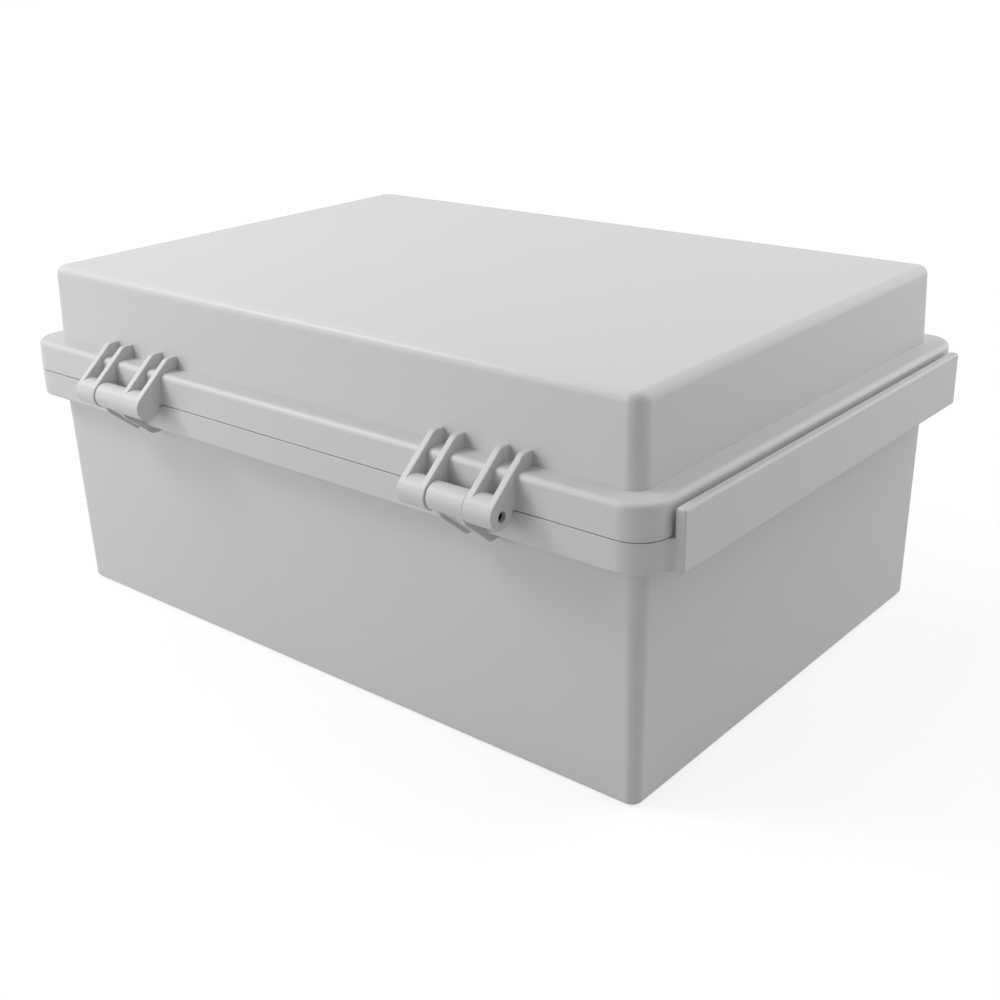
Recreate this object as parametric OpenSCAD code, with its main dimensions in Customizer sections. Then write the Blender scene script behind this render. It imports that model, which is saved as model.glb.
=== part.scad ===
// Hinged polycarbonate enclosure, lid up, back face on Z = 0.
// +X runs along the long side towards the drip shield, -Y is the hinge side.

/* [Shell] */
// Length over the rims, along X
rim_l = 352; // [290:1:430]
// Width over the rims, along Y
rim_w = 246.4; // [200:0.2:300]
// Height of the base, up to the seam
base_h = 111; // [90:1:150]
// Height of the lid above its rim
dome_h = 34; // [20:1:60]
// Wall of the base and the lid
wall = 3.5; // [2.8:0.1:4.2]
// Floor of the base and top of the lid
floor_t = 4; // [3:0.1:5]
// Open seam between the two rims
seam_gap = 0.3; // [0.2:0.1:1.2]

/* [Draft] */
// Draft of the base walls, in degrees
base_draft = 0.9; // [0.5:0.1:1.5]
// Draft of the lid walls, in degrees
lid_draft = 2.2; // [0.5:0.1:3]

/* [Rims] */
// Height of the rim round the base
base_rim_h = 12.2; // [10:0.1:16]
// Height of the rim round the lid
lid_rim_h = 14; // [12:0.1:18]
// How far the base rim stands out from the wall
base_overhang = 8.5; // [7.5:0.1:11]
// How far the lid rim stands out from the wall
lid_overhang = 9.6; // [8.8:0.1:12]
// Thickness of the rim skirts
skirt_t = 3; // [2.2:0.1:3.6]
// Thickness of the rim flanges
flange_t = 3; // [2.5:0.1:4]
// Corner radius of the rims
rim_r = 13; // [12:0.5:20]
// How much further the rims stand out at the seam than at the lid rim's top
rim_lean = 0.5; // [0:0.1:1]
// Rounding of the lid rim's top edge
rim_round = 2.5; // [1:0.1:4.5]
// Thickness of the stiffening webs under the base rim
web_t = 2; // [1.5:0.1:3]
// Webs along each long side
long_webs = 7; // [3:1:9]
// Webs along each short side
short_webs = 4; // [2:1:6]

/* [Corners] */
// Corner radius of the base wall under its rim
base_r = 6.5; // [6:0.1:10]
// Corner radius of the lid wall at its rim
lid_r = 7.2; // [6.5:0.1:10]
// Rounding of the base's bottom edge
foot_round = 2.5; // [1:0.1:4]
// Rounding of the lid's top edge
top_round = 4; // [2:0.1:5]

/* [Seal] */
// Thickness of the sealing tongue on the base
tongue_t = 2.2; // [1.5:0.1:2.6]
// Height of the sealing tongue above the seam
tongue_h = 7.2; // [6:0.1:8.5]
// Clearance of the tongue to the lid's wall on the hinge side
tongue_clear = 2.2; // [1.8:0.1:2.6]
// Gap between the tongue and the unpressed gasket
gasket_gap = 0.3; // [0.1:0.1:0.6]

/* [Drip shield] */
// Thickness of the drip shield
shield_t = 4.2; // [3:0.1:6]
// Distance of the shield's ends from the rim's long sides
shield_inset = 13; // [12:0.5:40]
// Open gap between the shield and the lid rim
shield_gap = 1.7; // [1:0.1:3]
// How far the shield stops short of the lid rim's top
shield_drop = 2.8; // [1:0.1:6]
// Radius that blends the shield's ends into the rim
shield_blend = 3; // [1:0.1:5]
// Rounding of the shield's top edges
shield_round = 1.2; // [0.4:0.1:1.4]

/* [Hinges] */
// Distance of each hinge from the middle
hinge_x = 98.5; // [70:0.5:125]
// Length of one hinge over its lid knuckles
hinge_l = 44.6; // [36:0.1:60]
// Length of the base knuckle
base_knuckle_l = 17.4; // [12:0.1:22]
// Gap at each end of the base knuckle
knuckle_gap = 0.3; // [0.2:0.1:1.5]
// Radius of the lid knuckles
lid_knuckle_r = 6; // [5:0.1:8]
// Radius of the base knuckle
base_knuckle_r = 5.5; // [4.5:0.1:7]
// How far the knuckles' outline is centred in front of the pin
knuckle_lead = 0.4; // [0:0.1:1]
// How far the knuckles' outline is centred above the pin
knuckle_lift = 1; // [0:0.1:1.5]
// Clearance of the lid knuckles to the base rim
knuckle_clear = 0.5; // [0.4:0.1:1]
// Diameter of the hinge pins
hinge_pin_d = 4; // [3:0.1:5]
// Running clearance of a pin, on the radius
pin_clear = 0.06; // [0.02:0.01:0.1]
// Depth of a hinge pin's end inside its bore
pin_recess = 2; // [1:0.1:4]
// Blind end left beyond a hinge pin's bore
blind_end = 3; // [2:0.1:5]
// Thickness of the hinge ribs
rib_t = 3; // [2:0.1:4]
// Slope of the hinge ribs' front edge, in degrees
rib_slope = 40; // [35:1:50]
// Height of the hinge ribs above the lid rim
rib_rise = 5.6; // [4:0.1:9]
// Rounding of a hinge rib's shoulder
rib_round = 4; // [2:0.1:5]
// Distance between the two fins under a base knuckle
fin_pitch = 11.5; // [8:0.5:13]
// Slope of the fins' front edge, in degrees
fin_slope = 40; // [35:1:50]
// How far the fins' front edge stands off the base knuckle's outline
fin_out = 1.4; // [0.5:0.1:2.5]
// How far the block between the fins lies behind their front edge
fin_proud = 1.5; // [0.5:0.1:1.6]
// Reach of the fins below the base rim
fin_drop = 4.8; // [3:0.1:10]
// Chamfer on the ends of the knuckles
knuckle_edge = 0.8; // [0.3:0.1:1.2]

/* [Latches] */
// Distance of each latch from the middle
latch_x = 92; // [60:1:120]
// Width of a latch
latch_w = 30; // [20:1:40]
// Thickness of a latch's plate
latch_t = 3.4; // [2.5:0.1:4]
// Side clearance of a latch between its ears
latch_side_gap = 0.4; // [0.2:0.1:0.8]
// Clearance of a closed latch round its catch
latch_clear = 0.4; // [0.3:0.1:0.6]
// How far the catch stands out from the lid rim
catch_out = 4.5; // [3:0.1:6]
// Height of the catch
catch_h = 7; // [5:0.1:9]
// Drop of the catch's top below the lid rim's top
catch_drop = 3.5; // [2:0.1:5]
// Height of the latch pivot above the base rim's underside
pivot_up = 4.8; // [4:0.1:6]
// Radius of a latch's barrel
barrel_r = 4.6; // [4:0.1:5.5]
// Clearance of a latch's barrel to the base rim
barrel_gap = 0.6; // [0.4:0.1:1]
// Diameter of the latch pins
latch_pin_d = 4; // [3:0.1:5]
// Thickness of the latch ears
ear_t = 5; // [3:0.1:7]
// Turn of a latch from hanging open to closed, in degrees
latch_swing = 172; // [120:1:175]
// Reach of the latch's finger lip
lip_out = 4; // [2:0.1:6]
// Thickness of the finger lip at its tip
lip_t = 2.2; // [1.5:0.1:3]

/* [Padlock lugs] */
// Width of the padlock lugs
lug_w = 22; // [16:1:30]
// Thickness of the padlock lugs
lug_t = 5; // [3:0.1:7]
// Diameter of the padlock hole
lug_hole_d = 8; // [5:0.1:10]
// Distance of the padlock hole from the rim's face
lug_reach = 10; // [8:0.1:14]

/* [Inside] */
// Distance of the corner bosses inside the base's outline, along X
boss_inset_x = 27.5; // [20:0.5:45]
// Distance of the corner bosses inside the base's outline, along Y
boss_inset_y = 26.7; // [20:0.1:45]
// Radius of the corner bosses at their top
boss_r = 7.5; // [6.5:0.1:10]
// How much wider the corner bosses are at their foot, on the radius
boss_taper = 1; // [0:0.1:2]
// Height of the corner bosses above the back face
boss_h = 22; // [20:0.5:40]
// Diameter of the moulded-in inserts
insert_d = 8; // [7:0.1:9]
// Length of the moulded-in inserts
insert_l = 8; // [6:0.1:9]
// Bore of the wall inserts, an M6 thread's core
wall_bore_d = 5; // [4:0.1:6]
// Bore of the panel inserts, an M5 thread's core
panel_bore_d = 4.2; // [3.2:0.1:6]
// Gap between the mounting panel and the base's walls
panel_gap = 11; // [4:0.5:14]
// Corner radius of the mounting panel
panel_r = 6; // [3:0.5:10]
// Thickness of the mounting panel
panel_t = 2; // [1.5:0.1:3]
// Diameter of the panel screws' heads
screw_head_d = 9.5; // [8:0.1:12]
// Height of the panel screws' heads
screw_head_h = 3.2; // [2:0.1:4]
// Length of the panel screws under their heads
screw_l = 9; // [6:0.1:9.5]
// Size and depth of the sockets in the screws' heads
socket_d = 3; // [2:0.5:5]
socket_h = 2; // [1:0.1:2.5]

/* [Hidden] */
$fn = 96;
grey = "#cfd2d3";
rubber = "#3a3c3d";
steel = "#c9c9c6";
brass = "#c8a64b";
painted = "#e6e7e3";
sink = 1;
arc_steps = 6;
edge = 0.6;
inner_round = 1;
gasket_side = 0.5;
fin_bend = 20;
web_setback = 1;
lid_rim_z = base_h + lid_rim_h;
total_h = lid_rim_z + dome_h;
rim_z = base_h - base_rim_h;
base_l = rim_l - 2 * base_overhang;
base_w = rim_w - 2 * base_overhang;
lid_l = rim_l - 2 * lid_overhang;
lid_w = rim_w - 2 * lid_overhang;
lid_seam_z = base_h + seam_gap;
groove_in = lid_overhang;
tongue_in = groove_in - tongue_clear;
gasket_h = lid_rim_h - flange_t - tongue_h - gasket_gap;
hinge_y = -rim_w / 2 - rim_lean - lid_knuckle_r - knuckle_lead - knuckle_clear;
hinge_z = base_h;
knuckle_y = hinge_y - knuckle_lead;
knuckle_z = hinge_z + knuckle_lift;
lid_knuckle_l = (hinge_l - base_knuckle_l) / 2 - knuckle_gap;
hinge_bore_l = hinge_l - blind_end;
hinge_pin_l = hinge_bore_l - pin_recess - sink / 2;
pivot_y = rim_w / 2 + rim_lean + barrel_gap + barrel_r;
pivot_z = rim_z + pivot_up;
catch_z = lid_rim_z - catch_drop;
ear_gap = latch_w + 2 * latch_side_gap;
latch_pin_l = ear_gap + 2 * ear_t - sink;
shield_l = rim_w - 2 * shield_inset;
boss_x = base_l / 2 - boss_inset_x;
boss_y = base_w / 2 - boss_inset_y;
panel_z = boss_h;
panel_edge = wall + panel_gap - drafted(panel_z, rim_z, base_draft);
panel_l = base_l - 2 * panel_edge;
panel_w = base_w - 2 * panel_edge;

function arc(cx, cz, r, from, to) =
    [for (i = [0:arc_steps]) let (a = from + (to - from) * i / arc_steps)
        [cx + r * cos(a), cz + r * sin(a)]];

// Outward shift of a drafted wall that is at its nominal size at height z0.
function drafted(z, z0, draft) = (z - z0) * tan(draft);

// Sweeps a profile of [outward offset, height] points round a rectangle with
// round corners. An offset of 0 is the rectangle's own outline.
module ring(l, w, r, profile) {
    points = [for (p = profile) [max(0, r + p[0]), p[1]]];
    for (k = [0:3]) {
        half = k % 2 == 0 ? [l / 2 - r, w / 2 - r] : [w / 2 - r, l / 2 - r];
        rotate([0, 0, 90 * k]) {
            translate([half[0], 0, 0])
                rotate([90, 0, 0])
                    linear_extrude(2 * half[1], center = true)
                        polygon(points);
            translate([half[0], half[1], 0])
                rotate_extrude(angle = 90)
                    polygon(points);
        }
    }
}

// Fills the middle that ring() leaves open, between two heights.
module core(l, w, r, z0, z1) {
    translate([r - l / 2, r - w / 2, z0])
        cube([l - 2 * r, w - 2 * r, z1 - z0]);
}

// Stands a [y, z] outline up across X, from x0 over a thickness t.
module across(x0, t) {
    translate([x0, 0, 0])
        rotate([90, 0, 90])
            linear_extrude(t)
                children();
}

// A cylinder along X with chamfered ends.
module knuckle(x0, l, r) {
    translate([x0, knuckle_y, knuckle_z])
        rotate([0, 90, 0])
            rotate_extrude()
                polygon([[0, 0], [r - knuckle_edge, 0], [r, knuckle_edge],
                         [r, l - knuckle_edge], [r - knuckle_edge, l], [0, l]]);
}

// ---- base ----

module base_tub() {
    foot = drafted(0, rim_z, base_draft);
    top = drafted(base_h, rim_z, base_draft);
    ring(base_l, base_w, base_r, concat(
        [[-base_r, 0]],
        arc(foot - foot_round, foot_round, foot_round, -90, 0),
        [[top, base_h], [top - wall, base_h]],
        arc(foot - wall - inner_round, floor_t + inner_round, inner_round, 0, -90),
        [[-base_r, floor_t]]));
    core(base_l, base_w, base_r, 0, floor_t);
}

module base_rim() {
    root = base_overhang + wall / 2;
    ring(rim_l, rim_w, rim_r, concat(
        [[-skirt_t, rim_z]],
        arc(rim_lean - 2 * edge, rim_z + 2 * edge, 2 * edge, -90, 0),
        [[rim_lean, base_h],
         [tongue_t - tongue_in, base_h], [tongue_t - tongue_in, base_h + tongue_h],
         [-tongue_in, base_h + tongue_h], [-tongue_in, base_h], [-root, base_h],
         [-root, base_h - flange_t], [-skirt_t, base_h - flange_t]]));
}

// One web in the channel under the rim, across the side that is half_w away.
module rim_web(half_w) {
    depth = base_overhang - skirt_t / 2 + wall / 2;
    translate([-web_t / 2, half_w - base_overhang - wall / 2, rim_z + web_setback])
        cube([web_t, depth, base_rim_h - flange_t]);
}

module base_webs() {
    for (side = [0, 180])
        rotate([0, 0, side])
            for (i = [0:long_webs - 1])
                translate([(i - (long_webs - 1) / 2) * base_l / (long_webs + 0.5), 0, 0])
                    rim_web(rim_w / 2);
    for (side = [90, 270])
        rotate([0, 0, side])
            for (i = [0:short_webs - 1])
                translate([(i - (short_webs - 1) / 2) * base_w / (short_webs + 0.5), 0, 0])
                    rim_web(rim_l / 2);
}

module drip_shield() {
    x0 = rim_l / 2 + shield_gap;
    top = lid_rim_z - shield_drop;
    translate([0, shield_l / 2, 0])
        rotate([90, 0, 0])
            linear_extrude(shield_l)
                polygon(concat(
                    [[rim_l / 2 - sink, rim_z], [x0 + shield_t, rim_z]],
                    arc(x0 + shield_t - shield_round, top - shield_round, shield_round, 0, 90),
                    arc(x0 + shield_round, top - shield_round, shield_round, 90, 180),
                    [[x0, base_h], [rim_l / 2 - sink, base_h]]));
    for (side = [-1, 1])
        shield_end(side);
}

// Concave blend between one end of the shield's foot and the rim.
module shield_end(side) {
    x0 = rim_l / 2 + rim_lean;
    mirror([0, side < 0 ? 1 : 0, 0])
        translate([0, shield_l / 2, rim_z])
            linear_extrude(base_rim_h)
                polygon(concat(
                    [[x0 - sink, -sink], [x0 + shield_blend, -sink]],
                    arc(x0 + shield_blend, shield_blend, shield_blend, 270, 180),
                    [[x0 - sink, shield_blend]]));
}

module base_hinge(x) {
    x0 = x - base_knuckle_l / 2;
    under = knuckle_z - base_knuckle_r;
    fin_x = x0 + base_knuckle_l - knuckle_edge - web_t;
    knuckle(x0, base_knuckle_l, base_knuckle_r);
    across(x0 + knuckle_edge, base_knuckle_l - 2 * knuckle_edge)
        polygon([[hinge_y, hinge_z], [knuckle_y, under], [-rim_w / 2 + sink, under - sink],
                 [-rim_w / 2 + sink, hinge_z - edge]]);
    for (fx = [fin_x - fin_pitch, fin_x])
        across(fx, web_t)
            fin(0);
    across(fin_x - fin_pitch + web_t / 2, fin_pitch)
        fin(fin_proud);
}

// Fin from the base knuckle, past the rim and in to the base wall. It leaves the
// knuckle's outline steeply, then bends to its slope. The front edge and the lower
// edge of the block between the fins lie back by some depth.
module fin(back) {
    steep = fin_slope + fin_bend;
    start_y = knuckle_y - base_knuckle_r * sin(steep);
    start_z = knuckle_z - base_knuckle_r * cos(steep);
    run = (base_knuckle_r * (1 - cos(fin_bend)) + fin_out - back) / sin(fin_bend);
    bend_y = start_y + run * cos(steep);
    bend_z = start_z - run * sin(steep);
    tip_z = rim_z - fin_drop + back;
    tip_y = bend_y + (bend_z - tip_z) / tan(fin_slope);
    wall_y = -base_w / 2 + sink;
    polygon([[knuckle_y, knuckle_z], [start_y, start_z], [bend_y, bend_z], [tip_y, tip_z],
             [wall_y, tip_z], [wall_y, base_h - flange_t], [hinge_y, base_h - flange_t]]);
}

module hinge_bore(x, r) {
    toward = x > 0 ? 1 : -1;
    translate([x + toward * (hinge_l / 2 + sink), hinge_y, hinge_z])
        rotate([0, -90 * toward, 0])
            cylinder(h = hinge_bore_l + sink, r = r);
}

module latch_ears(x) {
    for (ear = [x - ear_gap / 2 - ear_t, x + ear_gap / 2]) {
        across(ear, ear_t)
            translate([pivot_y, pivot_z])
                circle(r = barrel_r);
        across(ear, ear_t)
            polygon([[rim_w / 2 - sink, rim_z], [pivot_y, pivot_z - barrel_r],
                     [pivot_y, pivot_z + barrel_r], [rim_w / 2 - sink, base_h - edge]]);
    }
}

module latch_bore(x, l, r) {
    translate([x - l / 2, pivot_y, pivot_z])
        rotate([0, 90, 0])
            cylinder(h = l, r = r);
}

// Padlock lug with its bottom face on z0.
module padlock_lug(z0) {
    translate([0, rim_w / 2, z0]) {
        translate([0, lug_reach, 0])
            cylinder(h = lug_t, d = lug_w);
        translate([-lug_w / 2, -sink, 0])
            cube([lug_w, lug_reach + sink, lug_t]);
    }
}

module padlock_hole() {
    translate([0, rim_w / 2 + lug_reach, rim_z])
        cylinder(h = base_rim_h + lid_rim_h, d = lug_hole_d);
}

module at_bosses() {
    for (x = [-boss_x, boss_x], y = [-boss_y, boss_y])
        translate([x, y, 0])
            children();
}

module boss() {
    cylinder(h = boss_h, r1 = boss_r + boss_taper, r2 = boss_r);
}

module insert_pockets() {
    translate([0, 0, -sink])
        cylinder(h = insert_l + sink, d = insert_d);
    translate([0, 0, boss_h - insert_l])
        cylinder(h = insert_l + sink, d = insert_d);
}

module base() {
    color(grey)
        difference() {
            union() {
                base_tub();
                base_rim();
                base_webs();
                drip_shield();
                for (x = [-hinge_x, hinge_x])
                    base_hinge(x);
                for (x = [-latch_x, latch_x])
                    latch_ears(x);
                padlock_lug(base_h - lug_t);
                at_bosses()
                    boss();
            }
            for (x = [-hinge_x, hinge_x])
                hinge_bore(x, hinge_pin_d / 2);
            for (x = [-latch_x, latch_x])
                latch_bore(x, ear_gap + 2 * ear_t + sink, latch_pin_d / 2);
            padlock_hole();
            at_bosses()
                insert_pockets();
        }
}

// ---- lid ----

module lid_shell() {
    top = drafted(total_h, lid_rim_z, -lid_draft);
    under_z = total_h - floor_t;
    under = drafted(under_z, lid_rim_z, -lid_draft) - wall;
    ring(lid_l, lid_w, lid_r, concat(
        [[0, lid_seam_z], [0, lid_rim_z]],
        arc(top - top_round, total_h - top_round, top_round, 0, 90),
        [[-lid_r, total_h], [-lid_r, under_z]],
        arc(under - inner_round, under_z - inner_round, inner_round, 90, 0),
        [[-wall, lid_rim_z], [-wall, lid_seam_z]]));
    core(lid_l, lid_w, lid_r, under_z, total_h);
}

module lid_rim() {
    root = lid_overhang + wall / 2;
    ring(rim_l, rim_w, rim_r, concat(
        [[-skirt_t, lid_seam_z], [rim_lean - edge / 2, lid_seam_z],
         [rim_lean, lid_seam_z + edge / 2]],
        arc(-rim_round, lid_rim_z - rim_round, rim_round, 0, 90),
        [[-root, lid_rim_z], [-root, lid_rim_z - flange_t],
         [-skirt_t, lid_rim_z - flange_t]]));
}

// One rib of a hinge: tangent to the knuckle, over the rim, up to the wall.
module hinge_rib(x0) {
    a = 90 + rib_slope;
    top_z = lid_rim_z + rib_rise;
    round_z = top_z - rib_round;
    rise = round_z - knuckle_z;
    round_y = knuckle_y + (lid_knuckle_r - rib_round - rise * sin(a)) / cos(a);
    wall_y = -lid_w / 2 + wall / 2;
    across(x0, rib_t)
        polygon(concat(
            [[knuckle_y, knuckle_z], [knuckle_y, lid_seam_z],
             [-rim_w / 2 + sink, lid_seam_z],
             [-rim_w / 2 + sink, lid_rim_z - flange_t / 2],
             [wall_y, lid_rim_z - flange_t / 2], [wall_y, top_z]],
            arc(round_y, round_z, rib_round, 90, a),
            [[knuckle_y + lid_knuckle_r * cos(a), knuckle_z + lid_knuckle_r * sin(a)]]));
}

module lid_hinge(x) {
    for (x0 = [x - hinge_l / 2, x + hinge_l / 2 - lid_knuckle_l]) {
        knuckle(x0, lid_knuckle_l, lid_knuckle_r);
        hinge_rib(x0);
        hinge_rib(x0 + lid_knuckle_l - rib_t);
    }
}

// Ledge on the lid rim that a latch hooks over.
module latch_catch(x) {
    y0 = rim_w / 2;
    y1 = y0 + catch_out;
    low = catch_z - catch_h;
    across(x - latch_w / 2, latch_w)
        polygon([[y0 - sink, low - catch_out / 2], [y0, low - catch_out / 2],
                 [y1, low + catch_out / 2], [y1, catch_z - edge], [y1 - edge, catch_z],
                 [y0 - sink, catch_z]]);
}

module lid() {
    color(grey)
        difference() {
            union() {
                lid_shell();
                lid_rim();
                for (x = [-hinge_x, hinge_x])
                    lid_hinge(x);
                for (x = [-latch_x, latch_x])
                    latch_catch(x);
                padlock_lug(lid_seam_z);
            }
            for (x = [-hinge_x, hinge_x])
                hinge_bore(x, hinge_pin_d / 2 + pin_clear);
            padlock_hole();
        }
}

module lid_gasket() {
    color(rubber)
        ring(rim_l, rim_w, rim_r, [
            [-groove_in + gasket_side, lid_rim_z - flange_t - gasket_h],
            [-skirt_t - gasket_side, lid_rim_z - flange_t - gasket_h],
            [-skirt_t - gasket_side, lid_rim_z - flange_t],
            [-groove_in + gasket_side, lid_rim_z - flange_t]]);
}

// ---- hinge pins ----

module hinge_pin(x) {
    toward = x > 0 ? 1 : -1;
    color(steel)
        translate([x + toward * (hinge_l / 2 - pin_recess), hinge_y, hinge_z])
            rotate([0, -90 * toward, 0])
                cylinder(h = hinge_pin_l, d = hinge_pin_d);
}

module hinge_pin_left() { hinge_pin(-hinge_x); }
module hinge_pin_right() { hinge_pin(hinge_x); }

// ---- latches ----

// Side view of a latch's plate, hook and lip when closed, about its pivot.
module latch_outline() {
    inner = rim_w / 2 + catch_out + latch_clear - pivot_y;
    outer = inner + latch_t;
    under = catch_z + latch_clear - pivot_z;
    top = under + latch_t;
    tip = rim_w / 2 + rim_lean + edge - pivot_y;
    lip_z = top + lip_t - 2 * edge;
    polygon(concat(
        [[inner, 0], [inner, under], [tip, under], [tip, under + latch_t / 2]],
        arc(tip + latch_t / 2, top - latch_t / 2, latch_t / 2, 180, 90),
        [[outer, top], [outer + lip_out, lip_z], [outer + lip_out, lip_z - lip_t],
         [outer, top - latch_t - lip_t], [outer, 0]]));
}

module latch(x) {
    color(grey)
        translate([x, pivot_y, pivot_z])
            rotate([-latch_swing, 0, 0])
                difference() {
                    union() {
                        across(-latch_w / 2, latch_w)
                            circle(r = barrel_r);
                        across(-latch_w / 2, latch_w)
                            latch_outline();
                    }
                    translate([-latch_w / 2 - sink, 0, 0])
                        rotate([0, 90, 0])
                            cylinder(h = latch_w + 2 * sink, r = latch_pin_d / 2 + pin_clear);
                }
}

module latch_left() { latch(-latch_x); }
module latch_right() { latch(latch_x); }

module latch_pin(x) {
    color(steel)
        latch_bore(x, latch_pin_l, latch_pin_d / 2);
}

module latch_pin_left() { latch_pin(-latch_x); }
module latch_pin_right() { latch_pin(latch_x); }

// ---- inside ----

module mounting_panel() {
    hole_d = panel_bore_d + 2;
    color(painted)
        difference() {
            translate([0, 0, panel_z])
                linear_extrude(panel_t)
                    union() {
                        square([panel_l - 2 * panel_r, panel_w], center = true);
                        square([panel_l, panel_w - 2 * panel_r], center = true);
                        for (x = [-1, 1], y = [-1, 1])
                            translate([x * (panel_l / 2 - panel_r), y * (panel_w / 2 - panel_r)])
                                circle(r = panel_r);
                    }
            at_bosses()
                translate([0, 0, panel_z - sink])
                    cylinder(h = panel_t + 2 * sink, d = hole_d);
        }
}

module panel_screws() {
    shank_d = panel_bore_d - 2 * pin_clear;
    color(steel)
        at_bosses()
            translate([0, 0, panel_z + panel_t])
                difference() {
                    union() {
                        cylinder(h = screw_head_h, d1 = screw_head_d, d2 = screw_head_d - socket_h);
                        translate([0, 0, -screw_l])
                            cylinder(h = screw_l + sink, d = shank_d);
                    }
                    translate([0, 0, screw_head_h - socket_h])
                        cylinder(h = socket_h + sink, d = socket_d, $fn = 6);
                }
}

module insert(bore_d) {
    difference() {
        cylinder(h = insert_l, d = insert_d);
        translate([0, 0, -sink])
            cylinder(h = insert_l + 2 * sink, d = bore_d);
    }
}

module panel_inserts() {
    color(brass)
        at_bosses()
            translate([0, 0, boss_h - insert_l])
                insert(panel_bore_d);
}

module wall_inserts() {
    color(brass)
        at_bosses()
            insert(wall_bore_d);
}

base();
lid();
lid_gasket();
hinge_pin_left();
hinge_pin_right();
latch_left();
latch_right();
latch_pin_left();
latch_pin_right();
mounting_panel();
panel_screws();
panel_inserts();
wall_inserts();
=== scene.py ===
import math
import bpy
import numpy as np
from mathutils import Matrix, Vector
from mathutils.geometry import tessellate_polygon


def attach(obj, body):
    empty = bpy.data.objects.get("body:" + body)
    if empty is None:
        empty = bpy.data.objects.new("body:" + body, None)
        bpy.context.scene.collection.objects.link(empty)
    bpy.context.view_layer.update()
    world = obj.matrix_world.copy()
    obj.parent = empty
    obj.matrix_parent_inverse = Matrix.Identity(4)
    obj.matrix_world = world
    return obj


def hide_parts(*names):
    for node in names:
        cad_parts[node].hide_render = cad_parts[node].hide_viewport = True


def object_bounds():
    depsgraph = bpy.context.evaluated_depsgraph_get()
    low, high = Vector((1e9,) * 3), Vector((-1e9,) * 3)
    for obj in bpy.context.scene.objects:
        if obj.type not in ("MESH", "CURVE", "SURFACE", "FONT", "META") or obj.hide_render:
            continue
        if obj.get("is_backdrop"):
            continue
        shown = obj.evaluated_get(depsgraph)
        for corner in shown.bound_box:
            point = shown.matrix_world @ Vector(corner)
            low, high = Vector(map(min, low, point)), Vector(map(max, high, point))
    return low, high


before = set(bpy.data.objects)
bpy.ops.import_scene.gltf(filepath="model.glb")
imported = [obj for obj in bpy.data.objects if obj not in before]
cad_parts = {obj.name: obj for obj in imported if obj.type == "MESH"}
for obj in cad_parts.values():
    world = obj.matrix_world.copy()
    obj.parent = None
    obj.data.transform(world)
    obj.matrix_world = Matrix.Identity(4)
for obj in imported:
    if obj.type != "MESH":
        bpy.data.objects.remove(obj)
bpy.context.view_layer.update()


# ---- Camera ----
# A 50 mm lens at bench height, turned towards the hinge side and the drip shield's end,
# with a slight roll.
view_azimuth = math.radians(40.22)
view_elevation = math.radians(22.49)
view_roll = math.radians(-1.42)
view_distance = 0.64686
aim_right, aim_up, aim_height = 0.00716, -0.05175, 0.100

backwards = Vector((math.sin(view_azimuth) * math.cos(view_elevation),
                    -math.cos(view_azimuth) * math.cos(view_elevation),
                    math.sin(view_elevation)))
level_right = Vector((math.cos(view_azimuth), math.sin(view_azimuth), 0.0))
level_up = backwards.cross(level_right)
rolled_right = level_right * math.cos(view_roll) + level_up * math.sin(view_roll)
rolled_up = level_up * math.cos(view_roll) - level_right * math.sin(view_roll)

camera = bpy.data.objects.new("camera", bpy.data.cameras.new("camera"))
camera.data.lens = 49.88
camera.data.sensor_width = 36.0
camera.data.clip_start = 0.01
camera.data.clip_end = 50.0
camera.matrix_world = Matrix((rolled_right, rolled_up, backwards)).transposed().to_4x4()
camera.location = (Vector((0.0, 0.0, aim_height)) + level_right * aim_right
                   + level_up * aim_up + backwards * view_distance)
bpy.context.scene.collection.objects.link(camera)
bpy.context.scene.camera = camera
bpy.context.scene.view_settings.view_transform = "Standard"


# ---- Base ----
# The deep half of the box, injection moulded in one in light grey polycarbonate: a drafted tub
# with round edges, and a hollow rim round its mouth that carries the sealing tongue.

MM = 0.001
rim_l, rim_w, rim_r = 352 * MM, 246.4 * MM, 13 * MM
base_l, base_w, base_r = 335 * MM, 229.4 * MM, 6.5 * MM
seam_z, rim_z = 111 * MM, 98.8 * MM
wall, floor_t = 3.5 * MM, 4 * MM
base_draft = math.tan(math.radians(0.9))


def rounded(corners, radii, steps=6, hold=0.12 * MM, closed=True):
    """Path through corners with each one rounded: the arc of radius r that touches both sides, whose
    ends lie r / tan(half the corner's angle) along them. A point just past each end keeps the side
    flat when shaded."""
    p = np.asarray(corners, float)
    r = np.broadcast_to(np.asarray(radii, float), len(p))[:, None]
    before, after = np.roll(p, 1, 0) - p, np.roll(p, -1, 0) - p
    before /= np.linalg.norm(before, axis=1)[:, None]
    after /= np.linalg.norm(after, axis=1)[:, None]
    half = np.arccos(np.clip((before * after).sum(1), -1, 1))[:, None] / 2
    inward = before + after
    inward /= np.linalg.norm(inward, axis=1)[:, None]
    touch = r / np.tan(half)
    centre = p + inward * r / np.sin(half)
    side = np.sign(before[:, 0] * after[:, 1] - before[:, 1] * after[:, 0])[:, None]
    across = np.stack([-inward[:, 1], inward[:, 0]], 1) * side
    turn = ((np.pi / 2 - half) * np.linspace(-1, 1, steps + 1))[:, :, None]
    spoke = -np.cos(turn) * inward[:, None] + np.sin(turn) * across[:, None]
    arcs = centre[:, None] + r[:, None] * spoke
    path = np.concatenate([(p + before * (touch + hold))[:, None], arcs,
                           (p + after * (touch + hold))[:, None]], 1)
    if closed:
        return path.reshape(-1, 2)
    return np.concatenate([p[:1], path[1:-1].reshape(-1, 2), p[-1:]])


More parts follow.
